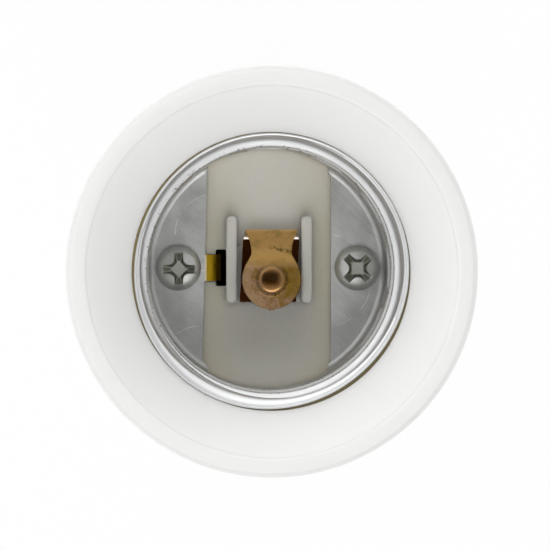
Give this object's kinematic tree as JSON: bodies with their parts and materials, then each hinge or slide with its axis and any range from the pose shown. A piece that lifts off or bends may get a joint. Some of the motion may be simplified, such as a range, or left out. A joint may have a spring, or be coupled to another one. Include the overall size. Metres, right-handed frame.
{
  "type": "lamp socket adapter",
  "caption": "White lamp adapter with a flared mouth over a large threaded socket, a sprung centre contact on its floor and a small screw base below.",
  "frame": {"origin": "on the axis, in the plane where the rim of the small screw base meets the shoulder of the housing", "axes": "+Z along the axis out of the mouth, +X across it through the two shell screws towards the right of the picture, +Y towards its top"},
  "size_m": [0.058, 0.058, 0.0848],
  "materials": {
    "white_plastic": "smooth moulded",
    "shell_aluminium": "drawn and brushed",
    "zinc_steel": "dull zinc plate",
    "contact_copper": "stained spring strip",
    "lead_brass": "plain strip",
    "base_nickel": "nickel plate",
    "black_insulator": "smooth"
  },
  "bodies": {
    "adapter": {"housing": "white_plastic", "screw_shell": "shell_aluminium", "shell_screws": "zinc_steel", "contact_rivet": "lead_brass", "side_strip": "lead_brass", "centre_lead": "lead_brass", "base_cap": "base_nickel", "base_insulator": "black_insulator", "base_contact": "base_nickel"},
    "contact": {"centre_contact": "contact_copper"}
  },
  "joints": [
    {"name": "contact_press", "type": "hinge", "parent": "adapter", "child": "contact", "pos_m": [0.0005, 0.0045, 0.0198], "axis": [1, 0, 0], "range_deg": [0, 20], "stiffness_Nm_per_rad": 0.18, "deforming": ["centre_contact"]}
  ]
}
